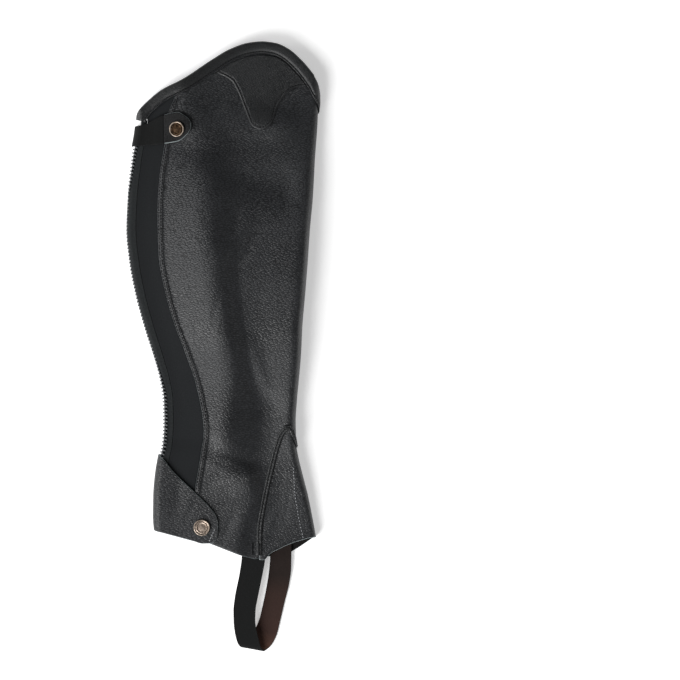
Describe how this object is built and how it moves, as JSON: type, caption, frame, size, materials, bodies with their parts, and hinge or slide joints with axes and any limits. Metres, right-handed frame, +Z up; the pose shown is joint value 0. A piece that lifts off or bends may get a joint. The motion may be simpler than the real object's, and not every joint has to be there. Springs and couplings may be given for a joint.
{
  "type": "half chap",
  "caption": "Zipped leather tube for the lower leg, with an elastic calf panel, snap tab, ankle flap and an elastic that passes under the boot, laid flat with its outer side up.",
  "frame": {"origin": "centre of the laid-out half chap's box, on the surface that it lies on", "axes": "+Y up the leg, from the stirrup elastic to the knee; +X from the back zip to the shin; +Z up from the surface, out of the outer side"},
  "size_m": [0.1812, 0.571, 0.0284],
  "materials": {
    "grained_leather": "pebble grained, satin",
    "smooth_leather": "fine grained, satin",
    "elastic": "matte ribbed elastic",
    "zip_tape": "woven tape",
    "lining_cloth": "plain matte cloth",
    "zip_nylon": "moulded nylon",
    "antique_brass": "antiqued, rubbed rim"
  },
  "bodies": {
    "root": {"leather_body": "grained_leather", "ankle_flap": "grained_leather", "instep_gusset": "grained_leather", "top_binding": "smooth_leather", "knee_patch": "smooth_leather", "instep_welt": "smooth_leather", "tab_tip": "smooth_leather", "elastic_panel": "elastic", "tab_strap": "elastic", "stirrup_elastic": "elastic", "zip_tape_outer": "zip_tape", "zip_tape_inner": "zip_tape", "top_lining": "lining_cloth", "zip_chain": "zip_nylon", "zip_slider": "zip_nylon", "tab_snap": "antique_brass", "ankle_snap": "antique_brass"}
  },
  "joints": []
}
